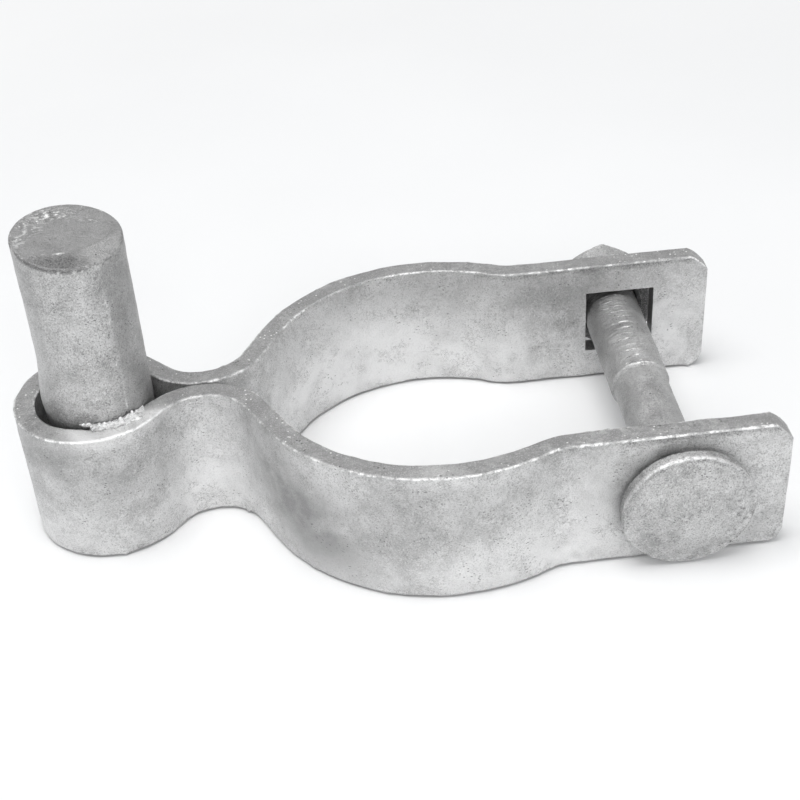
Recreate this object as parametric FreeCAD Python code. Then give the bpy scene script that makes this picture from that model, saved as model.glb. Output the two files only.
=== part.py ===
import FreeCAD, Part
import math
import os

from FreeCAD import Vector

# Post-side hinge of a chain link gate: a strap folded round an upright pin, clamped on a round post.
# Millimetres. The origin is on the post's axis, at the strap's lower edge. +Z is up, the pin stands
# on the -X side, the bolt crosses the two tabs on the +X side with its head at -Y.

# Strap, one strip of flat bar on edge
strap_width = 22.2
strap_thickness = 3.4
edge_round = 0.45

# Band that grips the post
band_inner_radius = 26.0
flare_angle = 63.5
neck_bend_radius = 7.2
neck_gap = 0.10
leg_angle = 50.0

# Tabs that the bolt draws together
tab_step = 4.0
tab_bend_angle = 25.5
tab_bend_radius = 7.8
hole_from_bend = 17.4
hole_to_end = 14.9
upper_corner_run = 3.0
upper_corner_drop = 2.7
upper_corner_bulge = 0.45
near_tab_trim = 0.6
lower_corner_radius = 2.4

# Pin, a sheared length of round bar. The zinc coats its free stretch, above the weld; down in the
# strap's eye the bar is bare, because the narrow crevice keeps the zinc out
bar_radius = 7.78
zinc_coat = 0.16
pin_radius = bar_radius + zinc_coat
pin_length = 50.8
coat_above_weld = 0.1
pin_foot_chamfer = 0.6
pin_to_leg_gap = 0.05
eye_slack = 0.86

# The pin's cut end leans down to its low side, and past a curved crease it is rolled over a little more
shear_tilt = 8.3
shear_low_side = -45.0
crease_radius = 11.3
crease_direction = -65.0
crease_reach = 4.1
lip_depth = 0.4

# Weld bead between the pin and the strap's upper edge
weld_leg_up = 1.5
weld_leg_out = 2.0
weld_from = -110.0
weld_to = -34.0
weld_crown = 0.62
weld_end_round = 0.45
weld_clearance = 0.02

# Carriage bolt
bolt_length = 63.5
head_radius = 9.9
head_rim = 2.2
head_crown = 1.1
head_edge_round = 0.5
neck_side = 9.4
neck_depth = 5.2
neck_corner_radius = 6.3
neck_lead = 0.9
shank_radius = 4.35
thread_radius = 4.8
thread_from_head = 28.0
thread_runout = 0.8
thread_end_chamfer = 1.0
thread_pitch = 1.5875
neck_clearance = 1.05
rest_gap = 0.07
bolt_tilt = 1.5

# Hexagon nut
nut_across_flats = 14.3
nut_thickness = 8.3
nut_chamfer_angle = 30.0
nut_countersink = 0.7
nut_running_clearance = 0.06
seat_gap = 0.05

# Spare length that a cutting shape runs past the solid it cuts
overrun = 1.0

# Strap outline, worked out on the near leg (-Y) and mirrored for the far one
leg = math.radians(leg_angle)
flare = math.radians(flare_angle)
tab_rise = math.radians(tab_bend_angle)
neck_y = -(neck_gap / 2 + strap_thickness + neck_bend_radius)

# Distance along X from the pin to the neck bend, and from there to the post's axis
neck_reach = pin_radius + pin_to_leg_gap + strap_thickness + neck_bend_radius
pin_to_neck = (neck_reach + math.cos(leg) * neck_y) / math.sin(leg)
band_reach = neck_bend_radius + band_inner_radius + strap_thickness
neck_to_post = (band_reach + math.cos(flare) * neck_y) / math.sin(flare)
pin_x = -(pin_to_neck + neck_to_post)
neck_x = -neck_to_post

# The eye is looser than the pin, which is pushed towards the neck until both legs touch it
eye_inner_radius = pin_radius + eye_slack
eye_x = pin_x - (eye_slack - pin_to_leg_gap) / math.sin(leg)

tab_inner = band_inner_radius - tab_step
tab_outer = tab_inner + strap_thickness
tab_bend_y = -(tab_outer + tab_bend_radius)
tab_reach = tab_bend_radius + band_inner_radius + strap_thickness
tab_bend_x = (tab_reach + math.cos(tab_rise) * tab_bend_y) / math.sin(tab_rise)
hole_x = tab_bend_x + hole_from_bend
tab_end_x = hole_x + hole_to_end

# The square holes are looser than the bolt's square neck. The bolt lies towards the band, its neck
# has dropped in the near hole, and the far end leans upwards
hole_side = neck_side + 2 * neck_clearance
hole_z = strap_width / 2
neck_drop = neck_clearance - rest_gap
thread_shift = hole_side / 2 - thread_radius - rest_gap
tilt = math.radians(bolt_tilt)
bolt_line = Vector(0, math.cos(tilt), math.sin(tilt))
head_seat_y = -(tab_outer + head_radius * math.sin(tilt) + seat_gap)
head_seat = Vector(hole_x - thread_shift, head_seat_y, hole_z - neck_drop)
nut_seat_y = tab_outer + nut_across_flats / 2 * math.sin(tilt) + seat_gap
nut_seat = head_seat + bolt_line * ((nut_seat_y - head_seat_y) / math.cos(tilt))


def on_circle(x, y, radius, angle):
    """Point of a circle in plan at an angle in radians."""
    return Vector(x + radius * math.cos(angle), y + radius * math.sin(angle), 0)


def arc(x, y, radius, start, end):
    """Arc in plan from one angle to another."""
    middle = (start + end) / 2
    points = [on_circle(x, y, radius, angle) for angle in (start, middle, end)]
    return Part.Arc(*points).toShape()


def line(start, end):
    return Part.LineSegment(start, end).toShape()


def end_of(edge, last=True):
    """First or last point of an edge in its own direction."""
    return edge.valueAt(edge.LastParameter if last else edge.FirstParameter)


def face_path(depth):
    """One face of the strap in plan, from the eye to the near tab's end.

    depth is measured outwards from the strap's inner face.
    """
    quarter = math.pi / 2
    eye = arc(eye_x, 0, eye_inner_radius + depth, -math.pi, leg - quarter)
    neck_radius = neck_bend_radius + strap_thickness - depth
    neck = arc(neck_x, neck_y, neck_radius, leg + quarter, quarter - flare)
    band = arc(0, 0, band_inner_radius + depth, -flare - quarter, tab_rise - quarter)
    bend_radius = tab_bend_radius + strap_thickness - depth
    bend = arc(tab_bend_x, tab_bend_y, bend_radius, tab_rise + quarter, quarter)
    edges = [eye]
    for following in (neck, band, bend):
        edges.append(line(end_of(edges[-1]), end_of(following, last=False)))
        edges.append(following)
    edges.append(line(end_of(bend), Vector(tab_end_x, -(tab_inner + depth), 0)))
    return edges


def mirrored(edges):
    """The same edges on the far leg."""
    return [edge.mirror(Vector(0, 0, 0), Vector(0, 1, 0)) for edge in edges]


def tab_end_profile(end_x):
    """Side view of what is cut off a tab: past its end, its clipped upper corner and its rounded lower one."""
    upper_start = Vector(end_x - upper_corner_run, 0, strap_width)
    upper_end = Vector(end_x, 0, strap_width - upper_corner_drop)
    chord = upper_end - upper_start
    outward = Vector(upper_corner_drop, 0, upper_corner_run).normalize()
    upper_middle = upper_start + chord * 0.5 + outward * upper_corner_bulge
    lower_x = end_x - lower_corner_radius
    diagonal = lower_corner_radius * math.sqrt(0.5)
    lower_start = Vector(end_x, 0, lower_corner_radius)
    lower_middle = Vector(lower_x + diagonal, 0, lower_corner_radius - diagonal)
    lower_end = Vector(lower_x, 0, 0)
    past_end = tab_end_x + overrun
    above = strap_width + overrun
    corners = [
        lower_end,
        Vector(lower_x, 0, -overrun),
        Vector(past_end, 0, -overrun),
        Vector(past_end, 0, above),
        Vector(upper_start.x, 0, above),
        upper_start,
    ]
    edges = [line(a, b) for a, b in zip(corners, corners[1:])]
    edges.append(Part.Arc(upper_start, upper_middle, upper_end).toShape())
    edges.append(line(upper_end, lower_start))
    edges.append(Part.Arc(lower_start, lower_middle, lower_end).toShape())
    return Part.Face(Part.Wire(Part.__sortEdges__(edges)))


def long_edges(solid):
    """The strip's sheared edges along its upper and lower rims, without its two ends."""
    found = []
    for edge in solid.Edges:
        box = edge.BoundBox
        level = box.ZLength < 1e-6
        across_end = box.XMin > tab_end_x - 1e-6
        if level and not across_end:
            found.append(edge)
    return found


def make_strap():
    inner = face_path(0)
    outer = face_path(strap_thickness)
    near_end = line(end_of(outer[-1]), end_of(inner[-1]))
    edges = inner + outer + mirrored(inner) + mirrored(outer)
    edges += [near_end] + mirrored([near_end])
    outline = Part.Face(Part.Wire(Part.__sortEdges__(edges)))
    strap = outline.extrude(Vector(0, 0, strap_width))
    strap = strap.makeFillet(edge_round, long_edges(strap))
    half_width = tab_outer + overrun
    far_waste = tab_end_profile(tab_end_x).extrude(Vector(0, half_width, 0))
    near_waste = tab_end_profile(tab_end_x - near_tab_trim).extrude(Vector(0, -half_width, 0))
    hole = Part.makeBox(hole_side, 2 * half_width, hole_side)
    hole.translate(Vector(hole_x - hole_side / 2, -half_width, hole_z - hole_side / 2))
    return strap.cut([far_waste, near_waste, hole])


def turned(points):
    """Solid of revolution about Z; each corner is (radius, height)."""
    corners = [Vector(radius, 0, height) for radius, height in points]
    profile = Part.Face(Part.makePolygon(corners + corners[:1]))
    return profile.revolve(Vector(0, 0, 0), Vector(0, 0, 1), 360)


def sheared_off():
    """What the shear took off the pin: all above the leaning cut, and the lip past the crease."""
    crease = math.radians(crease_direction)
    heading = Vector(math.cos(crease), math.sin(crease), 0)
    lean = heading * (-(pin_radius - crease_reach) / lip_depth)
    rise = lip_depth + overrun
    centre = heading * (crease_reach - crease_radius) - lean * rise
    circle = Part.makeCircle(crease_radius, centre - Vector(0, 0, rise))
    kept = Part.Face(Part.Wire(circle)).extrude((lean + Vector(0, 0, 1)) * rise)
    waste = Part.makeCylinder(pin_radius + 2 * overrun, pin_radius + lip_depth)
    waste.translate(Vector(0, 0, -lip_depth))
    waste = waste.cut(kept)
    low_side = math.radians(shear_low_side)
    high_point = on_circle(0, 0, -pin_radius, low_side)
    hinge_line = Vector(-math.sin(low_side), math.cos(low_side), 0)
    waste.rotate(high_point, hinge_line, shear_tilt)
    waste.translate(Vector(0, 0, pin_length))
    return waste


def make_pin():
    coat_from = strap_width + weld_leg_up + coat_above_weld
    pin = turned([
        (0, 0),
        (bar_radius - pin_foot_chamfer, 0),
        (bar_radius, pin_foot_chamfer),
        (bar_radius, coat_from),
        (pin_radius, coat_from),
        (pin_radius, pin_length),
        (0, pin_length),
    ])
    pin = pin.cut(sheared_off())
    pin.translate(Vector(pin_x, 0, 0))
    return pin


def make_weld():
    inner = bar_radius + weld_clearance
    toe = Vector(inner + weld_leg_out, 0, strap_width)
    heel = Vector(inner, 0, strap_width)
    top = Vector(inner, 0, strap_width + weld_leg_up)
    crown = Vector(inner + weld_leg_out * weld_crown, 0, strap_width + weld_leg_up * weld_crown)
    edges = [line(toe, heel), line(heel, top), Part.Arc(top, crown, toe).toShape()]
    section = Part.Face(Part.Wire(edges))
    bead = section.revolve(Vector(0, 0, 0), Vector(0, 0, 1), weld_to - weld_from)
    ends = []
    for face in bead.Faces:
        if isinstance(face.Surface, Part.Plane) and abs(face.normalAt(0, 0).z) < 0.5:
            ends += [edge for edge in face.Edges if isinstance(edge.Curve, Part.Circle)]
    bead = bead.makeFillet(weld_end_round, ends)
    bead.rotate(Vector(0, 0, 0), Vector(0, 0, 1), weld_from)
    bead.translate(Vector(pin_x, 0, 0))
    return bead


def along_bolt(solid, seat):
    """Lays a solid made along Z on the bolt's line, with its zero height at a seat."""
    solid.rotate(Vector(0, 0, 0), Vector(1, 0, 0), bolt_tilt - 90)
    solid.translate(seat)
    return solid


def make_head():
    """Shallow mushroom head below z = 0, with a square rim and a nearly flat crown."""
    flat = head_radius - head_edge_round
    top = -(head_rim + head_crown)
    sphere_radius = (flat ** 2 + head_crown ** 2) / (2 * head_crown)
    crown_middle = Vector(flat / 2, 0, top + sphere_radius - math.sqrt(sphere_radius ** 2 - flat ** 2 / 4))
    edges = [
        line(Vector(0, 0, 0), Vector(head_radius, 0, 0)),
        line(Vector(head_radius, 0, 0), Vector(head_radius, 0, head_edge_round - head_rim)),
        line(Vector(head_radius, 0, head_edge_round - head_rim), Vector(flat, 0, -head_rim)),
        Part.Arc(Vector(flat, 0, -head_rim), crown_middle, Vector(0, 0, top)).toShape(),
        line(Vector(0, 0, top), Vector(0, 0, 0)),
    ]
    return Part.Face(Part.Wire(edges)).revolve(Vector(0, 0, 0), Vector(0, 0, 1), 360)


def make_bolt():
    square = Part.makeBox(neck_side, neck_side, neck_depth)
    square.translate(Vector(-neck_side / 2, -neck_side / 2, 0))
    rounded = turned([
        (0, 0),
        (neck_corner_radius, 0),
        (neck_corner_radius, neck_depth - neck_lead),
        (shank_radius, neck_depth),
        (0, neck_depth),
    ])
    neck = square.common(rounded)
    stem = turned([
        (0, 0),
        (shank_radius, 0),
        (shank_radius, thread_from_head),
        (thread_radius, thread_from_head + thread_runout),
        (thread_radius, bolt_length - thread_end_chamfer),
        (thread_radius - thread_end_chamfer, bolt_length),
        (0, bolt_length),
    ])
    bolt = make_head().fuse([neck, stem]).removeSplitter()
    return along_bolt(bolt, head_seat)


def make_nut():
    corner_radius = nut_across_flats / 2 / math.cos(math.radians(30))
    corners = [on_circle(0, 0, corner_radius, math.radians(30 + 60 * i)) for i in range(6)]
    prism = Part.Face(Part.makePolygon(corners + corners[:1])).extrude(Vector(0, 0, nut_thickness))
    drop = (corner_radius - nut_across_flats / 2) * math.tan(math.radians(nut_chamfer_angle))
    washer_face = nut_across_flats / 2
    barrel = turned([
        (0, 0),
        (washer_face, 0),
        (corner_radius, drop),
        (corner_radius, nut_thickness - drop),
        (washer_face, nut_thickness),
        (0, nut_thickness),
    ])
    bore_radius = thread_radius + nut_running_clearance
    mouth = bore_radius + nut_countersink
    bore = turned([
        (0, -overrun),
        (mouth, -overrun),
        (mouth, 0),
        (bore_radius, nut_countersink),
        (bore_radius, nut_thickness - nut_countersink),
        (mouth, nut_thickness),
        (mouth, nut_thickness + overrun),
        (0, nut_thickness + overrun),
    ])
    nut = prism.common(barrel).cut(bore)
    return along_bolt(nut, nut_seat)


os.makedirs("parts", exist_ok=True)
pieces = {
    "post_strap": make_strap(),
    "pintle_pin": make_pin(),
    "pin_weld": make_weld(),
    "carriage_bolt": make_bolt(),
    "hex_nut": make_nut(),
}
for name, solid in pieces.items():
    solid.exportStep("parts/" + name + ".step")

print("pin axis x", round(pin_x, 3), "tab end x", round(tab_end_x, 3), "tab outer face y", round(tab_outer, 3))
nut_middle = nut_seat + bolt_line * (nut_thickness / 2)
print("nut middle", [round(part, 3) for part in nut_middle], "bolt line", [round(part, 6) for part in bolt_line],
      "head seat", [round(part, 3) for part in head_seat])
print("metres moved by a radian of the nut", round(thread_pitch / 1000 / (2 * math.pi), 9))
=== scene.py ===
import math

import bmesh
import bpy
import numpy as np
from bpy.props import FloatProperty, FloatVectorProperty, PointerProperty
from mathutils import Matrix, Vector, noise


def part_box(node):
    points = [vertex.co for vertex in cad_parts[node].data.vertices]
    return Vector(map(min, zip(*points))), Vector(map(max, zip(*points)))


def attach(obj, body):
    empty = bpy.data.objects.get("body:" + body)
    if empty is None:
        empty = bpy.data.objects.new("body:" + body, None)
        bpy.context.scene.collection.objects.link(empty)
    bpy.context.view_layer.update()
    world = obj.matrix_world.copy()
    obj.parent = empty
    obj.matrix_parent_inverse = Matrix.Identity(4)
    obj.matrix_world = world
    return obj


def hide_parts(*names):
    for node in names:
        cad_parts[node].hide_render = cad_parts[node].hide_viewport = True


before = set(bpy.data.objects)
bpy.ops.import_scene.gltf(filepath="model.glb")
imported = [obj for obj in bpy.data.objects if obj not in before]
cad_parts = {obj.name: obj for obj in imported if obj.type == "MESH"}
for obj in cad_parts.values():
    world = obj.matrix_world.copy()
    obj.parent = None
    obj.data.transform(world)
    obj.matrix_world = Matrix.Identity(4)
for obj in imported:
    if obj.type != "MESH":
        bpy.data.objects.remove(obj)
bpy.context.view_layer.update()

bl_info = {
    "name": "Chain Link Gate Hinge",
    "version": (1, 0, 0),
    "blender": (4, 5, 0),
    "location": "View3D > Sidebar > Gate Hinge",
    "description": "Dresses the post side of a chain link gate hinge in hot-dip galvanised steel",
    "category": "Add Mesh",
}

MM = 0.001
QUARTER = math.pi / 2
FULL_TURN = 2 * math.pi
HEX_HALF = math.pi / 6
IMAGE_WIDTH, SENSOR_WIDTH = 800, 36.0
strap_low, strap_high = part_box("post_strap")
pin_low, pin_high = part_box("pintle_pin")
weld_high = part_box("pin_weld")[1]
bolt_low, bolt_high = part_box("carriage_bolt")
pin_x, pin_y = (pin_low.x + pin_high.x) / 2, (pin_low.y + pin_high.y) / 2


def length(name, description, default, low=0.0):
    """A size in metres that the sidebar shows in the scene's own unit."""
    return FloatProperty(name=name, description=description, default=default, min=low, unit="LENGTH", precision=5)


def angle(name, description, degrees):
    """An angle, given in degrees."""
    return FloatProperty(name=name, description=description, default=math.radians(degrees), subtype="ANGLE")


def share(name, description, default):
    """A share from 0 to 1."""
    return FloatProperty(name=name, description=description, default=default, min=0.0, max=1.0, subtype="FACTOR")


def power(name, description, default):
    """A lamp's power."""
    return FloatProperty(name=name, description=description, default=default, min=0.0, unit="POWER")


def colour(name, description, grey):
    """A colour, which starts as an even grey."""
    return FloatVectorProperty(name=name, description=description, default=(grey, grey, grey), min=0, max=1,
                               size=3, subtype="COLOR")


class HingeStrapSizes(bpy.types.PropertyGroup):
    """Sizes of the folded strap."""

    thickness: length("Thickness", "Thickness of the flat bar", 3.4 * MM)
    edge_round: length("Edge round", "Radius of the bar's rolled edges", 0.5 * MM)
    band_radius: length("Band radius", "Inner radius of the arcs that grip the post", 26.0 * MM)
    eye_radius: length("Eye radius", "Inner radius of the eye round the pin", 8.8 * MM)
    neck_radius: length("Neck radius", "Outer radius of the bend at the pinched neck", 7.2 * MM)
    neck_gap: length("Neck gap", "Gap between the legs where they pinch", 0.1 * MM)
    leg_angle: angle("Leg angle", "Slope of each leg between the eye and the neck", 50.0)
    flare_angle: angle("Flare angle", "Slope of each leg between the neck and the band", 63.5)
    tab_angle: angle("Tab angle", "Slope at which the band meets the tab's bend", 25.5)
    tab_step: length("Tab step", "How far the tabs stand inside the band", 4.0 * MM)
    tab_radius: length("Tab bend radius", "Outer radius of the bend into the tab", 7.8 * MM)
    hole_side: length("Hole side", "Side of the square bolt holes", 11.5 * MM)
    hole_to_end: length("Hole to end", "From the hole's centre to the tab's end", 14.9 * MM)
    corner_run: length("Corner run", "Width clipped off the tab's upper corner", 3.0 * MM)
    corner_drop: length("Corner drop", "Height clipped off the tab's upper corner", 2.7 * MM)
    near_trim: length("Near tab trim", "How much shorter the near tab is cut", 0.6 * MM)
    lower_round: length("Lower round", "Radius of the tab's lower corner", 2.4 * MM)
    mesh_step: length("Mesh step", "Spacing of the mesh along the strap", 0.62 * MM, 0.2 * MM)
    unevenness: length("Unevenness", "Depth of the dents left by folding", 0.14 * MM)


class HingePinSizes(bpy.types.PropertyGroup):
    """Sizes of the upright pin and its weld."""

    radius: length("Radius", "Radius of the bar", 7.94 * MM)
    foot_chamfer: length("Foot chamfer", "Chamfer at the lower end", 0.6 * MM)
    shear_tilt: angle("Shear lean", "How far the cut end leans down to its low side", 8.3)
    shear_low_side: angle("Low side", "Direction in plan of the cut end's low side", -45.0)
    crease_radius: length("Crease radius", "Radius of the curved crease across the cut end", 11.3 * MM)
    crease_direction: angle("Crease direction", "Direction in plan of the crease's middle", -65.0)
    crease_reach: length("Crease reach", "From the pin's axis to the crease's middle", 4.1 * MM)
    lip_depth: length("Lip depth", "Extra drop of the lip past the crease", 0.4 * MM)
    torn_reach: length("Torn part", "From the pin's axis to the ridge where the cut end is torn", 3.6 * MM)
    torn_direction: angle("Torn grain", "Direction in plan of the torn part's grain", 18.4)
    weld_up: length("Weld height", "Height of the weld's nubs above the strap", 0.95 * MM)
    weld_out: length("Weld width", "Width of the weld on the strap", 2.3 * MM)
    weld_from: angle("Weld start", "Direction in which the weld starts", -110.0)
    weld_to: angle("Weld end", "Direction in which the weld ends", -34.0)


class HingeBoltSizes(bpy.types.PropertyGroup):
    """Sizes of the carriage bolt and the nut."""

    head_radius: length("Head radius", "Radius of the round head", 9.9 * MM)
    head_rim: length("Head rim", "Height of the head's square rim", 2.2 * MM)
    head_crown: length("Head crown", "Rise of the crown above the rim", 1.1 * MM)
    neck_side: length("Neck side", "Side of the square neck", 9.4 * MM)
    neck_depth: length("Neck depth", "Depth of the square neck", 5.2 * MM)
    length: length("Length", "From under the head to the bolt's end", 63.5 * MM)
    shank_radius: length("Shank radius", "Radius of the plain shank", 4.35 * MM)
    thread_radius: length("Thread radius", "Radius over the thread", 4.8 * MM)
    thread_start: length("Thread start", "From under the head to the thread", 28.0 * MM)
    thread_pitch: length("Thread pitch", "Advance of the thread in one turn", 1.5875 * MM)
    thread_depth: length("Thread depth", "Depth of the thread that the zinc leaves open", 0.2 * MM)
    seat_y: length("Head seat", "How far the head's underside lies from the post's axis", 25.709 * MM)
    seat_z: length("Seat level", "Level of the bolt's axis at the head", 10.12 * MM)
    tilt: angle("Tilt", "How far the bolt leans up towards the nut", 1.5)
    nut_seat: length("Nut seat", "From under the head to the nut along the bolt", 51.363 * MM)
    nut_thickness: length("Nut thickness", "Height of the nut", 8.3 * MM)
    nut_flats: length("Nut across flats", "Width of the nut", 14.3 * MM)
    nut_bore: length("Nut bore", "Radius of the nut's bore", 4.86 * MM)


class HingeZincFinish(bpy.types.PropertyGroup):
    """Colours and grain of the zinc coat."""

    bright: colour("Bright zinc", "The palest patches of the coat", 0.74)
    middle: colour("Middle zinc", "The common tone of the coat", 0.65)
    dull: colour("Dull zinc", "The darkest cloudy patches", 0.48)
    # The sheared edge's grey is partly the steel's own tone and partly painted shade that keeps the narrow top faces
    # darker than the sides
    cut_edge_and_shade: colour("Sheared edge", "The narrow edges of the bar and the pin's cut end", 0.28)
    # The pit colour also paints shade in crevices and recesses, and dark lines beside highlights
    pit_and_shade: colour("Pits", "Fine dark pits in the coat", 0.08)
    # Fresh zinc is also the colour of the painted highlights on edges, crests and rims
    fresh_zinc_and_highlight: colour("Fresh zinc", "Specks and beads of bright zinc", 0.80)
    metallic: share("Metallic", "How much the coat reflects as metal", 0.88)
    cloud_size: length("Cloud size", "Width of the cloudy patches", 15.0 * MM)
    grain_size: length("Grain size", "Width of the fine grain", 0.42 * MM)


class HingeStudio(bpy.types.PropertyGroup):
    """Camera, floor and lamps."""

    camera_place: FloatVectorProperty(name="Camera place", description="Where the camera stands", size=3,
                                      default=(-0.0162, -0.18365, 0.1479), subtype="TRANSLATION", unit="LENGTH")
    camera_yaw: angle("Yaw", "Turn of the camera to the right of +Y", 3.32)
    camera_pitch: angle("Pitch", "Tilt of the camera below the horizon", 35.85)
    camera_roll: angle("Roll", "Turn of the camera about its own line of sight", 4.1)
    focal_pixels: FloatProperty(name="Focal length in pixels", default=1453.5,
                                description="Focal length for an image 800 pixels wide")
    floor_grey: colour("Floor", "Pale floor", 0.95)
    fade_from: length("Fade from", "Distance at which the floor starts to fade into the white room", 0.12)
    fade_to: length("Fade to", "Distance at which the floor is as white as the room", 0.45)
    world_strength: share("World", "Strength of the even light from all round", 0.46)
    key_power: power("Key lamp", "Power of the large lamp beside the camera", 3.7)
    fill_power: power("Fill lamp", "Power of the lamp on the right", 1.0)


# Small helpers for numbers and places

def held(value, low, high):
    """The value, kept between two limits."""
    return min(high, max(low, value))


def bell(value, middle, width):
    """1 at the middle, falling smoothly to 0 on both sides of it; for one number or an array."""
    return np.exp(-((value - middle) / width) ** 2)


def bell_round(turn, middle, width):
    """A bell for a direction round an axis."""
    return bell(math.remainder(turn - middle, FULL_TURN), 0.0, width)


def along_and_across(x, y, turn):
    """A place in plan, seen along a direction and across it."""
    return x * math.cos(turn) + y * math.sin(turn), y * math.cos(turn) - x * math.sin(turn)


def polar(centre, radius, direction):
    """The point in plan at a distance and direction from a centre."""
    return np.array([centre[0] + radius * math.cos(direction), centre[1] + radius * math.sin(direction)])


def tinted(tone, factor):
    """A colour made darker or paler."""
    return tuple(min(1.0, part * factor) for part in tone)


def fractal(spot, octaves, smoothness=0.7):
    """Rough random value at one spot; each octave is twice as fine as the one before."""
    return noise.fractal(spot, smoothness, 2.0, octaves)


def grain(places, size, seed=0.0, octaves=3):
    """Smooth random height in about -1..1 at each place, with features of the given size."""
    offset = Vector((seed * 7.3, seed * 3.1, seed * 5.7))
    return np.array([fractal(Vector(place) / size + offset, octaves, 0.6) for place in places])


def read_points(obj, name):
    """What the mesh stores for its points, one row each: their places (co) or their normals (normal)."""
    out = np.zeros(len(obj.data.vertices) * 3, np.float32)
    obj.data.vertices.foreach_get(name, out)
    return out.reshape(-1, 3).astype(float)


def set_places(obj, places, low, high):
    """Writes the points back, held inside a box."""
    kept = np.clip(places, np.array(low), np.array(high))
    obj.data.vertices.foreach_set("co", kept.astype(np.float32).ravel())
    obj.data.update()


def add_layer(obj, name, values):
    """Gives every point a number that the zinc reads; a layer that a piece doesn't have reads 0."""
    layer = obj.data.attributes.get(name) or obj.data.attributes.new(name, "FLOAT", "POINT")
    layer.data.foreach_set("value", np.asarray(values, np.float32))


def face_outward(obj):
    """Turns every face of the closed mesh outward."""
    mesh = bmesh.new()
    mesh.from_mesh(obj.data)
    bmesh.ops.recalc_face_normals(mesh, faces=mesh.faces)
    mesh.to_mesh(obj.data)
    mesh.free()


def skin(rows, closed=True):
    """Faces between each row of points and the next one."""
    faces = []
    for lower, upper in zip(rows, rows[1:]):
        for k in range(len(lower) if closed else len(lower) - 1):
            n = (k + 1) % len(lower)
            faces.append((lower[k], lower[n], upper[n], upper[k]))
    return faces


class Shell:
    """Points of a piece with their numbers for the zinc, the rows that they lie in, and its faces."""

    def __init__(self, *layers):
        self.points, self.rows, self.faces = [], [], []
        self.layers = {name: [] for name in layers}

    def add(self, point, **values):
        """Adds a point and gives its number in the mesh."""
        self.points.append(point)
        for name, column in self.layers.items():
            column.append(values.get(name, 0.0))
        return len(self.points) - 1

    def ring(self, columns, place, offset=0.0):
        """Adds a ring; place gives the point and its numbers for a direction round the axis."""
        row = []
        for j in range(columns):
            point, values = place(FULL_TURN * (j + offset) / columns)
            row.append(self.add(point, **values))
        self.rows.append(row)

    def close(self, tip=None):
        """Joins the rows into a body with a cap at each end, or with the last row run to a tip."""
        first, last = self.rows[0], self.rows[-1]
        self.faces += skin(self.rows) + [tuple(reversed(first))]
        if tip is None:
            self.faces.append(tuple(last))
        else:
            self.faces += [(a, b, tip) for a, b in zip(last, last[1:] + last[:1])]
        self.rows = []

    def make(self, name, sharp_angle):
        """Makes the smooth-shaded object, with edges past the angle (in degrees) left sharp."""
        mesh = bpy.data.meshes.new(name)
        mesh.from_pydata([tuple(point) for point in self.points], [], self.faces)
        mesh.validate()
        obj = bpy.data.objects.new(name, mesh)
        for key, values in self.layers.items():
            add_layer(obj, key, values)
        mesh.shade_smooth()
        mesh.set_sharp_from_angle(angle=math.radians(sharp_angle))
        bpy.context.scene.collection.objects.link(obj)
        return obj


def dress(obj, node, body, material):
    """Puts the piece in the place of its solid, on its body, in its finish."""
    obj.data.materials.append(material)
    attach(obj, body)
    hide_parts(node)
    return obj


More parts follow.
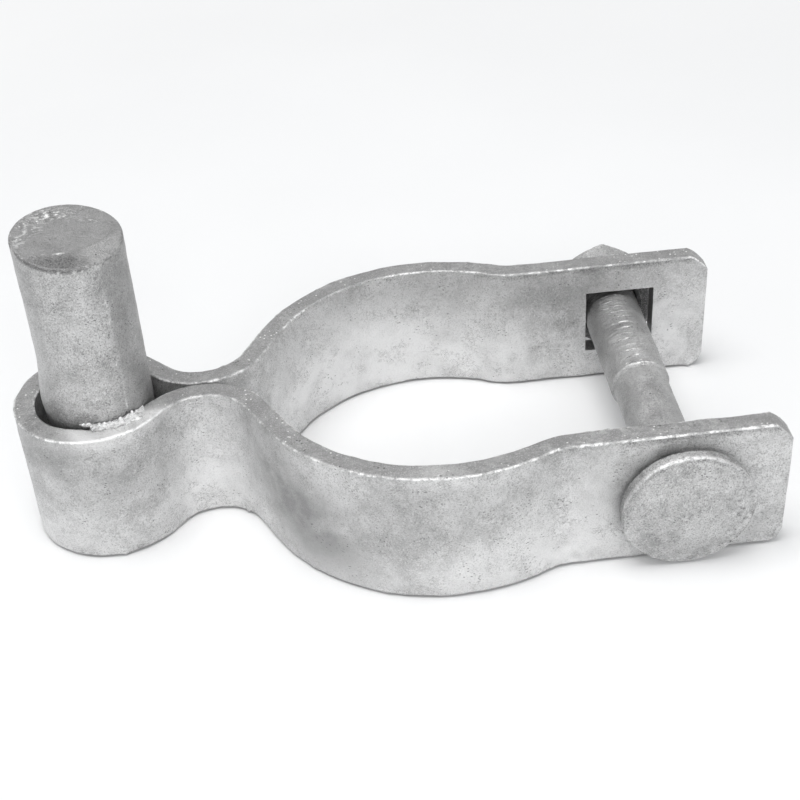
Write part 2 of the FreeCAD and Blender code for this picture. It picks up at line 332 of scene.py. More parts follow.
class ZincTree:
    """Builds the nodes of one finish; its colours come from noise on the piece's own surface and from the numbers the
    mesh gives each point, which carry painted highlights and painted shade.
    """

    bump_strength, bump_depth = 0.45, 0.3 * MM

    def __init__(self, name):
        self.material = bpy.data.materials.new(name)
        self.material.use_nodes = True
        self.nodes = self.material.node_tree.nodes
        self.links = self.material.node_tree.links
        self.nodes.clear()
        self.place = self.nodes.new("ShaderNodeTexCoord").outputs["Object"]

    def vector(self, operation, amount):
        """The place on the surface, moved or stretched."""
        node = self.nodes.new("ShaderNodeVectorMath")
        node.operation = operation
        node.inputs[1].default_value = amount
        self.links.new(self.place, node.inputs[0])
        return node.outputs[0]

    def noise(self, size, detail=4.0, roughness=0.55, distortion=0.0, shift=0.0):
        """Cloudy noise from 0 to 1; a shift makes it differ from noise of the same size."""
        where = self.vector("ADD", (shift, shift * 0.7, shift * 1.3)) if shift else self.place
        node = self.nodes.new("ShaderNodeTexNoise")
        node.inputs["Scale"].default_value = 1.0 / size
        node.inputs["Detail"].default_value = detail
        node.inputs["Roughness"].default_value = roughness
        node.inputs["Distortion"].default_value = distortion
        self.links.new(where, node.inputs["Vector"])
        return node.outputs["Fac"]

    def cells(self, size, flattened=1.0):
        """Distance from scattered points; above 1, flattened makes their spots lower than wide."""
        node = self.nodes.new("ShaderNodeTexVoronoi")
        node.inputs["Scale"].default_value = 1.0 / size
        self.links.new(self.vector("MULTIPLY", (1.0, 1.0, flattened)), node.inputs["Vector"])
        return node.outputs["Distance"]

    def layer(self, name):
        """The number that the mesh gives the surface in one of its layers."""
        node = self.nodes.new("ShaderNodeAttribute")
        node.attribute_name = name
        return node.outputs["Fac"]

    def remap(self, value, low, high, to_low=0.0, to_high=1.0):
        """The value eased from one range to another, and held there."""
        node = self.nodes.new("ShaderNodeMapRange")
        node.interpolation_type = "SMOOTHSTEP"
        for socket, number in (("From Min", low), ("From Max", high), ("To Min", to_low), ("To Max", to_high)):
            node.inputs[socket].default_value = number
        self.links.new(value, node.inputs["Value"])
        return node.outputs["Result"]

    def maths(self, operation, first, second):
        """One step of arithmetic between two values."""
        node = self.nodes.new("ShaderNodeMath")
        node.operation = operation
        for socket, value in zip(node.inputs, (first, second)):
            if isinstance(value, (int, float)):
                socket.default_value = value
            else:
                self.links.new(value, socket)
        return node.outputs[0]

    def plus(self, first, second):
        return self.maths("ADD", first, second)

    def minus(self, first, second):
        return self.maths("SUBTRACT", first, second)

    def times(self, first, second):
        return self.maths("MULTIPLY", first, second)

    def mix(self, share, first, second):
        """The second colour over the first, by a share."""
        node = self.nodes.new("ShaderNodeMix")
        node.data_type = "RGBA"
        for socket, value in zip((node.inputs["Factor"], node.inputs[6], node.inputs[7]), (share, first, second)):
            if isinstance(value, bpy.types.NodeSocket):
                self.links.new(value, socket)
            else:
                socket.default_value = (*value, 1.0)
        return node.outputs[2]

    def shader(self, tone, roughness):
        """The surface shader, with a colour and a roughness."""
        node = self.nodes.new("ShaderNodeBsdfPrincipled")
        self.links.new(tone, node.inputs["Base Color"])
        self.links.new(roughness, node.inputs["Roughness"])
        return node

    def finish(self, surface):
        """Ends the finish with its surface."""
        out = self.nodes.new("ShaderNodeOutputMaterial")
        self.links.new(surface, out.inputs["Surface"])
        return self.material


def zinc(name, finish, lift=0.0, metallic=None):
    """Hot-dip galvanised steel; lift makes a piece's coat paler or darker than the finish's colours."""
    tree = ZincTree(name)
    bright, middle, dull = (tuple(min(1.0, part + lift) for part in tone)
                            for tone in (finish.bright, finish.middle, finish.dull))
    cut, pit_and_shade, fresh_zinc_and_highlight = tuple(finish.cut_edge_and_shade), tuple(finish.pit_and_shade), tuple(finish.fresh_zinc_and_highlight)
    dark_zinc_and_shade, size = tinted(dull, 0.6), finish.grain_size

    cloud = tree.noise(finish.cloud_size, 2.0, 0.45, 0.2)
    patch = tree.noise(finish.cloud_size * 0.22, 4.0, 0.6, 0.3, 0.031)
    mottle = tree.noise(size * 4.4, 5.0, 0.68, 0.2, 0.017)
    fine = tree.noise(size, 5.0, 0.75)
    salt = tree.noise(size * 0.55, 2.0, 0.7, 0.0, 0.091)
    tone = tree.plus(tree.times(cloud, 0.55), tree.times(patch, 0.45))
    streaks = tree.plus(tree.times(mottle, 0.5), tree.times(fine, 0.5))

    base = tree.mix(tree.remap(tone, 0.38, 0.53), dull, middle)
    base = tree.mix(tree.remap(tone, 0.49, 0.62), base, bright)
    # Spots in the coat: the noise they come from, where in it they start and are full, their strength and colour
    for source, start, full, strength, spots in (
            (streaks, 0.52, 0.40, 0.30, dark_zinc_and_shade), (streaks, 0.54, 0.66, 0.50, fresh_zinc_and_highlight),
            (salt, 0.47, 0.32, 0.8, dark_zinc_and_shade), (salt, 0.53, 0.68, 0.6, fresh_zinc_and_highlight)):
        base = tree.mix(tree.remap(source, start, full, 0.0, strength), base, spots)
    # Painted shade and painted light from the mesh: the dull layer holds painted shade as well as dull zinc, the
    # bright layer painted light as well as runs of zinc
    base = tree.mix(tree.layer("dulled"), base, dark_zinc_and_shade)
    base = tree.mix(tree.layer("bright"), base, tinted(fresh_zinc_and_highlight, 1.1))

    # Fine cracks, along the line where a noise passes its middle
    web = tree.noise(size * 3.0, 6.0, 0.72, 0.8, 0.083)
    crack = tree.remap(tree.maths("ABSOLUTE", tree.minus(web, 0.5), 0.0), 0.0, 0.016, 1.0, 0.0)
    scattered = tree.remap(tree.noise(size * 11, 3.0, 0.6, 0.0, 0.029), 0.47, 0.60, 0.06, 0.80)
    crack = tree.times(crack, scattered)
    base = tree.mix(crack, base, tinted(dull, 0.42))

    # The sheared steel of the edges and the pin's end, its own tone darkened further as painted shade on the narrow
    # top faces; it is even where the mesh calls it calm
    lively = tree.minus(1.0, tree.layer("calm"))
    sheared = tree.mix(tree.remap(streaks, 0.38, 0.66), tinted(cut, 0.84), tinted(cut, 1.16))
    sheared = tree.mix(tree.remap(salt, 0.46, 0.30, 0.0, 0.5), sheared, tinted(cut, 0.55))
    sheared = tree.mix(tree.times(tree.remap(salt, 0.54, 0.70, 0.0, 0.30), lively), sheared, fresh_zinc_and_highlight)
    speck = tree.remap(tree.cells(size * 2.0), 0.10, 0.20, 1.0, 0.0)
    clusters = tree.remap(tree.noise(size * 13, 3.0, 0.6, 0.0, 0.071), 0.49, 0.58)
    sheared = tree.mix(tree.times(tree.times(speck, clusters), lively), sheared, fresh_zinc_and_highlight)
    base = tree.mix(tree.layer("cut"), base, sheared)

    # Beads of zinc and painted highlights, pits, and grooves and painted shade
    broken = tree.remap(tree.noise(size * 2.2, 3.0, 0.7, 0.0, 0.057), 0.42, 0.56, 0.10, 1.0)
    base = tree.mix(tree.times(tree.layer("bead"), broken), base, tinted(fresh_zinc_and_highlight, 1.2))
    spot = tree.remap(tree.cells(size * 1.9, 2.3), 0.14, 0.26, 1.0, 0.0)
    sparse = tree.remap(tree.noise(size * 9, 3.0, 0.6, 0.0, 0.043), 0.54, 0.64)
    pits = tree.times(tree.times(spot, tree.maths("MAXIMUM", sparse, tree.layer("pitted"))), 0.8)
    base = tree.mix(pits, base, pit_and_shade)
    base = tree.mix(tree.times(tree.layer("groove"), tree.remap(salt, 0.36, 0.64, 1.0, 0.4)), base, pit_and_shade)

    relief = tree.plus(tree.times(fine, 0.6), tree.times(mottle, 1.2))
    relief = tree.plus(relief, tree.times(salt, 1.3))
    relief = tree.minus(relief, tree.times(pits, 1.6))
    relief = tree.minus(relief, tree.times(crack, 1.1))
    bump = tree.nodes.new("ShaderNodeBump")
    bump.inputs["Strength"].default_value = tree.bump_strength
    bump.inputs["Distance"].default_value = tree.bump_depth
    tree.links.new(relief, bump.inputs["Height"])
    shader = tree.shader(base, tree.remap(streaks, 0.35, 0.65, 0.36, 0.56))
    shader.inputs["Metallic"].default_value = finish.metallic if metallic is None else metallic
    tree.links.new(bump.outputs["Normal"], shader.inputs["Normal"])
    return tree.finish(shader.outputs["BSDF"])


# The strap. Its mesh has rows below, in and above the bolt hole, across each narrow edge and through each wall
HOLE_LEVEL = 11.1 * MM
ROWS_BELOW, ROWS_IN_HOLE, ROWS_ABOVE, ROWS_ACROSS, CORNER_ROWS, WALL_ROWS = 10, 18, 10, 6, 5, 5
FEWEST_STATIONS = 6
CLIP_BOW = 1.35
STRAP_INSET = 0.04 * MM
HOLE_WALL_CUT, LEG_END_CUT = 0.9, 0.6
STRAP_SHARP = 42.0

# Painted shade and painted light on the coat, partly dull and pale zinc, in millimetres: x, y, z, reach in plan, reach
# in height; and strength
SHADE_AND_DULL_PATCHES = (
    (-22.0, -19.5, 9.0, 6.0, 7.0, 0.95), (-17.0, -24.0, 5.5, 6.0, 5.0, 0.6), (-27.0, -14.5, 13.0, 7.0, 8.0, 0.55),
    (-4.0, -29.4, 15.5, 16.0, 5.0, 0.28), (-60.0, -9.0, 18.0, 8.0, 4.0, 0.4), (-48.0, -12.0, 13.0, 8.0, 5.0, 0.3),
    (24.0, -25.4, 12.0, 7.0, 9.0, 0.3), (4.0, 26.0, 18.0, 22.0, 5.5, 0.38), (30.0, 22.0, 18.0, 9.0, 5.0, 0.3),
    (45.0, -25.4, 3.0, 5.0, 4.0, 0.25))
LIGHT_AND_PALE_PATCHES = (
    (-36.0, -7.0, 6.0, 6.0, 9.0, 0.85), (0.0, -29.4, 2.5, 24.0, 4.5, 0.45), (6.0, 26.0, 4.0, 26.0, 8.0, 0.7),
    (-12.0, 24.0, 9.0, 14.0, 9.0, 0.55), (16.0, -26.5, 5.0, 9.0, 9.0, 0.5), (21.0, -25.4, 16.0, 5.0, 4.0, 0.3),
    (-24.0, 12.0, 7.0, 12.0, 8.0, 0.35), (42.0, 22.0, 9.0, 8.0, 9.0, 0.75), (-58.0, -10.0, 4.0, 10.0, 5.0, 0.25))
# Where the zinc of the weld ran over the cut edge, and one run on the band
RUN_PATCHES = (
    (-54.0, -9.6, 22.2, 4.0, 1.5, 0.6), (-49.5, -10.4, 22.2, 3.5, 1.5, 1.0), (-45.5, -9.4, 22.2, 3.2, 1.5, 1.0),
    (-42.0, -7.2, 22.2, 3.0, 1.5, 0.8), (-3.0, -29.0, 22.2, 3.5, 1.5, 0.45))


class StrapPlan:
    """The strap's outline in plan, worked out from its sizes as a bender would lay it out."""

    def __init__(self, sizes):
        leg, flare, rise = sizes.leg_angle, sizes.flare_angle, sizes.tab_angle
        thickness, band = sizes.thickness, sizes.band_radius
        self.tab_inner = band - sizes.tab_step
        bend_y = -(self.tab_inner + thickness + sizes.tab_radius)
        self.bend_x = (sizes.tab_radius + band + thickness + math.cos(rise) * bend_y) / math.sin(rise)
        neck_y = -(sizes.neck_gap / 2 + thickness + sizes.neck_radius)
        neck_x = -(sizes.neck_radius + band + thickness + math.cos(flare) * neck_y) / math.sin(flare)
        eye_x = strap_low.x + sizes.eye_radius + thickness
        # Centre, radius of the inner face, start and end direction, and 1 where the outer face is further out
        self.arcs = (
            ((eye_x, 0.0), sizes.eye_radius, -math.pi, leg - QUARTER, 1),
            ((neck_x, neck_y), sizes.neck_radius + thickness, leg + QUARTER, QUARTER - flare, -1),
            ((0.0, 0.0), band, -flare - QUARTER, rise - QUARTER, 1),
            ((self.bend_x, bend_y), sizes.tab_radius + thickness, rise + QUARTER, QUARTER, -1),
        )
        self.end_x = strap_high.x
        self.hole_x = self.end_x - sizes.hole_to_end

    def near_leg(self, sizes):
        """Stations from the eye's outermost point to the near tab's end: the inner face's points, their outward
        normals, and the stations at the hole's two sides."""
        step = sizes.mesh_step
        points, normals = [], []

        def add(point, normal):
            points.append(point)
            normals.append(normal)

        for centre, radius, start, end, side in self.arcs:
            if points:
                first, normal = polar(centre, radius, start), side * polar((0, 0), 1, start)
                count = int(np.linalg.norm(first - points[-1]) / step)
                for i in range(1, count + 1):
                    add(points[-1] + (first - points[-1]) / (count + 2 - i), normal)
            count = max(FEWEST_STATIONS, int(abs(end - start) * radius / step))
            for i in range(count + 1):
                turn = start + (end - start) * i / count
                add(polar(centre, radius, turn), side * polar((0, 0), 1, turn))
        half = sizes.hole_side / 2
        stops = (self.bend_x, self.hole_x - half, self.hole_x + half, self.end_x - sizes.corner_run, self.end_x)
        at_stops = []
        for left, right in zip(stops, stops[1:]):
            count = max(2, round((right - left) / step))
            for i in range(1, count + 1):
                add(np.array([left + (right - left) * i / count, -self.tab_inner]), np.array([0.0, -1.0]))
            at_stops.append(len(points) - 1)
        return np.array(points), np.array(normals), at_stops[:2]


def tab_heights(x, plan, sizes):
    """Lowest and highest level of the bar at a place along the tab."""
    low, high = 0.0, strap_high.z
    past_clip = x - (plan.end_x - sizes.corner_run)
    if past_clip > 0:
        high -= sizes.corner_drop * (past_clip / sizes.corner_run) ** CLIP_BOW
    past_round = x - (plan.end_x - sizes.lower_round)
    if past_round > 0:
        low = sizes.lower_round - math.sqrt(max(0.0, sizes.lower_round ** 2 - past_round ** 2))
    return low, high


def bar_section(sizes):
    """Loop round the bar's section as (depth from the inner face, height, how much of a narrow edge it is),
    and how many rows each wide face has."""
    r, t, top, half = sizes.edge_round, sizes.thickness, strap_high.z, sizes.hole_side / 2
    heights = []
    for low, high, count in ((r, HOLE_LEVEL - half, ROWS_BELOW), (HOLE_LEVEL - half, HOLE_LEVEL + half, ROWS_IN_HOLE),
                             (HOLE_LEVEL + half, top - r, ROWS_ABOVE)):
        heights += [low + (high - low) * i / count for i in range(count)]
    heights.append(top - r)

    def corner(number):
        """The rounded corners in turn: inner upper, outer upper, outer lower, inner lower."""
        turns = [math.pi - (number + i / CORNER_ROWS) * QUARTER for i in range(1, CORNER_ROWS)]
        depth, height = ((r, top - r), (t - r, top - r), (t - r, r), (r, r))[number]
        return [(depth + r * math.cos(turn), height + r * math.sin(turn), abs(math.sin(turn))) for turn in turns]

    across = [(t - 2 * r) * i / ROWS_ACROSS for i in range(ROWS_ACROSS + 1)]
    rows = [(0.0, z, 0.0) for z in heights] + corner(0) + [(r + run, top, 1.0) for run in across] + corner(1)
    rows += [(t, z, 0.0) for z in reversed(heights)] + corner(2) + [(t - r - run, 0.0, 1.0) for run in across]
    return rows + corner(3), len(heights)


def build_strap(scene):
    """Carries the bar's section along both legs, and cuts the two square holes."""
    sizes = scene.hinge_strap
    plan = StrapPlan(sizes)
    near, near_normals, (hole_left, hole_right) = plan.near_leg(sizes)
    section, side_rows = bar_section(sizes)
    to_far = (1, -1)
    points = np.vstack([near[::-1], (near * to_far)[1:]])
    normals = np.vstack([near_normals[::-1], (near_normals * to_far)[1:]])
    stations, middle, ring = len(points), len(near) - 1, len(section)
    past_hole = plan.hole_x + sizes.hole_side / 2
    shell = Shell("cut")
    for number, (place, normal) in enumerate(zip(points, normals)):
        low, high = tab_heights(place[0], plan, sizes)
        if number < middle and place[0] > past_hole:
            place = place - (sizes.near_trim * (place[0] - past_hole) / (plan.end_x - past_hole), 0.0)
        scale = (high - low) / strap_high.z
        for depth, height, cut in section:
            at = place + normal * (STRAP_INSET + depth * (1 - 2 * STRAP_INSET / sizes.thickness))
            level = held(low + height * scale, low + STRAP_INSET / 2, high - STRAP_INSET / 2)
            shell.add((at[0], at[1], level), cut=cut)

    holes = ((middle - hole_right, middle - hole_left), (middle + hole_left, middle + hole_right))
    first, last = ROWS_BELOW, ROWS_BELOW + ROWS_IN_HOLE
    outer = side_rows + 2 * (CORNER_ROWS - 1) + ROWS_ACROSS + 1
    outer_first, outer_last = outer + side_rows - 1 - last, outer + side_rows - 1 - first
    for i in range(stations - 1):
        in_hole = any(a <= i < b for a, b in holes)
        for j in range(ring):
            if not (in_hole and (first <= j < last or outer_first <= j < outer_last)):
                k = (j + 1) % ring
                shell.faces.append((i * ring + j, i * ring + k, (i + 1) * ring + k, (i + 1) * ring + j))

    def between(a, b, row, cut):
        """Adds a point on the line between two others, at a row of the wall."""
        start, end = np.array(shell.points[a]), np.array(shell.points[b])
        return shell.add(tuple(start + (end - start) * row / WALL_ROWS), cut=cut)

    for a, b in holes:
        rim = [(a, j) for j in range(first, last)] + [(i, last) for i in range(a, b)]
        rim += [(b, j) for j in range(last, first, -1)] + [(i, first) for i in range(b, a, -1)]
        inside = [i * ring + j for i, j in rim]
        outside = [i * ring + outer_last - (j - first) for i, j in rim]
        wall = [[between(p, q, row, HOLE_WALL_CUT) for p, q in zip(inside, outside)] for row in range(1, WALL_ROWS)]
        shell.faces += skin([inside] + wall + [outside])
    for base in (0, (stations - 1) * ring):
        end = []
        for j in range(side_rows):
            a, b = base + j, base + outer + side_rows - 1 - j
            end.append([a] + [between(a, b, row, LEG_END_CUT) for row in range(1, WALL_ROWS)] + [b])
        shell.faces += skin(end, closed=False)
        shell.faces.append(tuple(end[-1] + [base + j for j in range(outer - 1, side_rows - 1, -1)]))
        shell.faces.append(tuple(end[0] + [base + j for j in range(outer + side_rows, ring)]))
    obj = shell.make("strap_folded", STRAP_SHARP)
    face_outward(obj)
    return obj


def patch_share(places, patches):
    """Strength of soft patches at each place."""
    total = np.zeros(len(places))
    for x, y, z, reach, rise, strength in patches:
        flat = np.hypot(places[:, 0] - x * MM, places[:, 1] - y * MM)
        total += strength * bell(flat, 0.0, reach * MM) * bell(places[:, 2], z * MM, rise * MM)
    return np.clip(total, 0.0, 1.0)


def edge_bead(places, cut, amount, seed):
    """Zinc that ran to the sharp edges and set there unevenly, with scattered nubs: its height, and how it shines."""
    line = bell(cut, 0.5, 0.32)
    run = grain(places, 4.0 * MM, seed, octaves=2)
    nub = grain(places, 1.1 * MM, seed + 4, octaves=2)
    rise = line * amount * (np.clip(0.35 + run, 0.0, 1.2) + 2.2 * np.clip(nub - 0.42, 0.0, 1.0))
    return rise, line * np.clip(0.45 + run * 1.3 + nub * 0.9, 0.0, 1.0)


def zinc_nubs(places, normals):
    """Height of the nubs of zinc scattered along the strap's lower edge."""
    count, zone, widths, heights = 34, 1.6 * MM, (0.5, 1.1), (0.1, 0.32)
    rng = np.random.default_rng(11)
    candidates = np.where((normals[:, 2] ** 2 < 0.2) & (places[:, 2] < zone))[0]
    centres = places[rng.choice(candidates, count)]
    total = np.zeros(len(places))
    for centre, radius, height in zip(centres, rng.uniform(*widths, count) * MM, rng.uniform(*heights, count) * MM):
        distance = np.sum((places - centre) ** 2, axis=1) / radius ** 2
        near = distance < 4
        total[near] += height * np.exp(-2 * distance[near])
    return total


def relieve_strap(obj, sizes):
    """Dents from folding, the uneven zinc along both edges, nubs near the lower edge, patches of painted shade and
    painted light that are partly dull and pale zinc, and bright runs.
    """
    places, normals = read_points(obj, "co"), read_points(obj, "normal")
    cut = np.array([item.value for item in obj.data.attributes["cut"].data])
    flat_face = cut < 0.5
    wander = grain(places, 5.0 * MM, seed=21.0) * 0.5 + 1.0
    run = np.clip(patch_share(places, RUN_PATCHES) * wander, 0, 0.9)
    bright = np.clip(patch_share(places, LIGHT_AND_PALE_PATCHES) * wander, 0, 0.85) * flat_face
    add_layer(obj, "dulled", patch_share(places, SHADE_AND_DULL_PATCHES) * wander * flat_face)
    add_layer(obj, "bright", np.maximum(bright, 0.85 * run))
    add_layer(obj, "cut", cut * (1 - run))

    dents, ripples = grain(places, 9.0 * MM, seed=1.0, octaves=2), grain(places, 2.2 * MM, seed=2.0)
    bead, shine = edge_bead(places, cut, 0.16 * MM, 3.0)
    rise = sizes.unevenness * (0.55 * dents - 0.5) + 0.035 * MM * ripples + bead + zinc_nubs(places, normals)
    set_places(obj, places + normals * rise[:, None], strap_low, strap_high)

    # Painted highlight: the bead's shine is painted on the upper edge, most on the near tab; a thin line of painted
    # shade runs below it
    upper = places[:, 2] > (strap_low.z + strap_high.z) / 2
    on_tab = np.clip((places[:, 0] - 6 * MM) / (12 * MM), 0.0, 1.0) * (places[:, 1] < 0)
    add_layer(obj, "bead", np.clip(shine * np.where(upper, 1.1 + 0.5 * on_tab, 0.3), 0, 0.95))
    below = strap_high.z - sizes.edge_round - places[:, 2]
    hairline = bell(below, 0.2 * MM, 0.34 * MM) * (cut < 0.05)
    hairline *= np.clip((places[:, 0] - 4 * MM) / (12 * MM), 0.25, 1.0)
    hairline *= np.clip(0.5 + 0.3 * on_tab + 1.3 * grain(places, 3 * MM, seed=15.0, octaves=2), 0, 0.9)
    add_layer(obj, "groove", hairline)


# The pin
PIN_COLUMNS, PIN_SIDE_ROWS, PIN_RIM_ROWS, PIN_END_ROWS = 168, 92, 4, 43
PIN_INSET, PIN_RIM = 0.05 * MM, 0.35 * MM
PIN_SHARP = 50.0

# Marks on the pin's cut end, in millimetres from its axis: x, y, reach in x, reach in y; and strength
FLECKS = ((-2.8, 5.0, 2.4, 1.3, 1.0), (-5.2, 1.7, 1.7, 1.6, 0.55), (-6.6, -1.2, 1.1, 1.6, 0.5),
          (3.0, 3.6, 1.6, 0.8, 0.35))
LIP_DARK_MARKS = ((-1.5, -6.4, 4.2, 1.7, 0.75), (0.9, -6.2, 1.7, 1.4, 0.55))


def past_crease(x, y, sizes):
    """How far a place on the cut end lies past its curved crease; x and y are from the pin's axis."""
    along, across = along_and_across(x, y, sizes.crease_direction)
    arc = np.sqrt(np.maximum(0.0, sizes.crease_radius ** 2 - across ** 2))
    return along - sizes.crease_reach + sizes.crease_radius - arc


def pin_top(x, y, sizes):
    """Level of the pin's cut end: the shear's leaning plane, and the lip that drops past the crease."""
    fall = along_and_across(x, y, sizes.shear_low_side)[0] + sizes.radius
    lip = np.clip(past_crease(x, y, sizes) / (sizes.radius - sizes.crease_reach), 0.0, 1.0)
    return pin_high.z - fall * math.tan(sizes.shear_tilt) - lip * sizes.lip_depth


def end_marks(x, y, marks):
    """Strength of soft oval marks on the cut end."""
    total = sum(strength * bell(x, u * MM, wide * MM) * bell(y, v * MM, deep * MM)
                for u, v, wide, deep, strength in marks)
    return np.clip(total, 0.0, 1.0)


def build_pin(scene):
    """The bar's foot, side, rounded rim and leaning cut end, ring by ring, and then its marks."""
    sizes = scene.hinge_pin
    radius, foot = sizes.radius - PIN_INSET, pin_low.z
    shoulder = foot + sizes.foot_chamfer
    shell = Shell("cut")

    def ring(size, level_of, cut):
        def place(turn):
            x, y = size * math.cos(turn), size * math.sin(turn)
            return (pin_x + x, pin_y + y, level_of(x, y)), {"cut": cut}
        shell.ring(PIN_COLUMNS, place)

    for part in (0.25, 0.6, 1.0):
        ring((radius - sizes.foot_chamfer) * part, lambda x, y: foot, 0.8)
    ring(radius, lambda x, y: shoulder, 0.4)
    for i in range(1, PIN_SIDE_ROWS + 1):
        ring(radius, lambda x, y: shoulder + (pin_top(x, y, sizes) - PIN_RIM - shoulder) * (i / PIN_SIDE_ROWS), 0.0)
    for i in range(1, PIN_RIM_ROWS + 1):
        turn = QUARTER * i / PIN_RIM_ROWS
        ring(radius - PIN_RIM + PIN_RIM * math.cos(turn),
             lambda x, y: pin_top(x, y, sizes) - PIN_RIM + PIN_RIM * math.sin(turn), 0.5)
    for i in range(1, PIN_END_ROWS + 1):
        ring((radius - PIN_RIM) * (1 - i / (PIN_END_ROWS + 1)), lambda x, y: pin_top(x, y, sizes), 1.0)
    shell.close(tip=shell.add((pin_x, pin_y, pin_top(0, 0, sizes)), cut=1.0))
    obj = shell.make("pin_galvanised", PIN_SHARP)
    mark_pin(obj, np.array(shell.layers["cut"]), sizes)
    return obj


def mark_pin(obj, cuts, sizes):
    """The torn cut end with its darker marks, and the pitted side with a painted highlight line, painted shade on its
    right flank and at the far left, and the run at the foot.
    """
    places, normals = read_points(obj, "co"), read_points(obj, "normal")
    x, y = places[:, 0] - pin_x, places[:, 1] - pin_y
    top = cuts > 0.9
    side = ~top
    height = (places[:, 2] - strap_high.z) / (pin_high.z - strap_high.z)

    # The torn part of the cut end, with strokes along its grain
    along, across = along_and_across(x, y, sizes.torn_direction)
    torn = np.maximum((across - sizes.torn_reach) / (0.4 * MM), (-5.0 * MM - x) / (2.4 * MM))
    torn = np.clip(torn, 0, 1) * top * np.clip((2.4 * MM - x) / (1.6 * MM), 0, 1)
    strokes = grain(np.stack([along * 0.42, across, x * 0], axis=1), 0.34 * MM, seed=7.0, octaves=2)
    rise = 0.05 * MM * (grain(places, 5 * MM, seed=5.0) - 0.5) + 0.02 * MM * grain(places, 1.2 * MM, seed=6.0)
    rise += torn * 0.07 * MM * (strokes - 0.5)
    left_side = np.clip((-x * 0.95 - y * 0.3) / sizes.radius, 0, 1) ** 2
    rise += 0.8 * MM * left_side * bell(places[:, 2], strap_high.z + 1.5 * MM, 4.5 * MM)
    spare = Vector((0.9 * MM, 0.9 * MM, 0))
    set_places(obj, places + normals * rise[:, None], pin_low - spare, pin_high + spare)

    # The side: turned_away runs from -1 on the left to 1 on the right of the photograph's view. Painted shade darkens
    # the right flank and the far left, a paler patch is painted inside the right flank, random dull patches are added,
    # and a painted highlight line with a painted shade line beside it runs where the lit side meets the right flank
    turned_away = (x * 0.98 + y * 0.19) / sizes.radius + 0.035 * grain(places, 3 * MM, seed=17.0)
    dulled = np.clip((turned_away - 0.42) / 0.06, 0, 1) * 0.34 + np.clip((-0.62 - turned_away) / 0.2, 0, 1) * 0.2
    dulled -= 0.30 * bell(turned_away, 0.80, 0.09) * bell(height, 0.5, 0.22)
    dulled += 0.25 * np.clip(grain(places, 7 * MM, seed=18.0, octaves=2) - 0.1, 0, 1)
    add_layer(obj, "dulled", np.clip(dulled * side, 0, 0.6))
    pitted = np.clip((turned_away + 0.25) / 0.5, 0, 1) * (turned_away < 0.44) * np.clip(height * 3, 0, 1)
    pitted *= np.clip(0.25 + 1.8 * grain(places, 3.4 * MM, seed=24.0), 0, 1)
    add_layer(obj, "pitted", np.clip(pitted * side, 0, 0.9))
    side_highlight = bell(turned_away, 0.415, 0.022) * side
    side_highlight *= np.clip(grain(places, 0.9 * MM, seed=19.0, octaves=2) * 2.4 - 0.3, 0, 1)
    side_shade_line = bell(turned_away, 0.385, 0.020) * side * (height > 0)
    side_shade_line *= np.clip(0.2 - 2.2 * grain(places, 0.8 * MM, seed=23.0, octaves=2), 0, 1)

    # The cut end: bright flecks, a painted highlight on the lit stretch of the crease and painted shade on the rest of
    # it, and darker marks on the lip past it
    past = past_crease(x, y, sizes)
    crease = bell(past, 0.0, 0.20 * MM) * top
    lit = np.clip((0.9 * MM - x) / (0.5 * MM), 0, 1) * np.clip((x + 4.6 * MM) / (1.5 * MM), 0, 1)
    flecks, lip_dark = end_marks(x, y, FLECKS) * top, end_marks(x, y, LIP_DARK_MARKS)
    bright = flecks * np.clip((strokes - 0.02) * 5.0, 0, 0.95) + 0.8 * side_highlight
    bright += crease * lit * np.clip(0.6 + grain(places, 1.0 * MM, seed=12.0, octaves=2), 0, 1)
    add_layer(obj, "bead", np.clip(bright, 0, 0.95))
    add_layer(obj, "calm", np.clip(1 - torn, 0, 1) * top * 0.9)
    dark = top * (past > 0) * lip_dark
    dark = dark * np.clip(1.15 + 0.7 * grain(places, 1.1 * MM, seed=13.0, octaves=2), 0.5, 1.3)
    dark += 0.35 * flecks * np.clip(-strokes * 3, 0, 1)

    # Bare metal smeared over the rim, with a broken dark line along it
    paler = 0.17 * (past > 0) * np.clip((x - 1.5 * MM) / (1.5 * MM), 0, 1)
    ragged = 0.35 * MM * (0.6 + grain(places, 1.6 * MM, seed=16.0))
    upper = places[:, 2] > strap_high.z
    smeared = upper * (places[:, 2] - pin_top(x, y, sizes) > -ragged - 0.5 * MM * lip_dark)
    add_layer(obj, "cut", np.where(upper, np.maximum(smeared, top) * (1 - paler), cuts))
    rim_line = bell(np.hypot(x, y), sizes.radius - 0.12 * MM, 0.22 * MM) * smeared
    rim_line *= 0.16 + 0.4 * grain(places, 1.2 * MM, seed=20.0, octaves=2) + 0.5 * lip_dark
    dark = np.maximum(dark, smeared * side * lip_dark * 0.6)
    add_layer(obj, "groove", np.clip(0.95 * dark + 0.2 * crease * (1 - lit) + rim_line + 0.8 * side_shade_line, 0, 0.9))


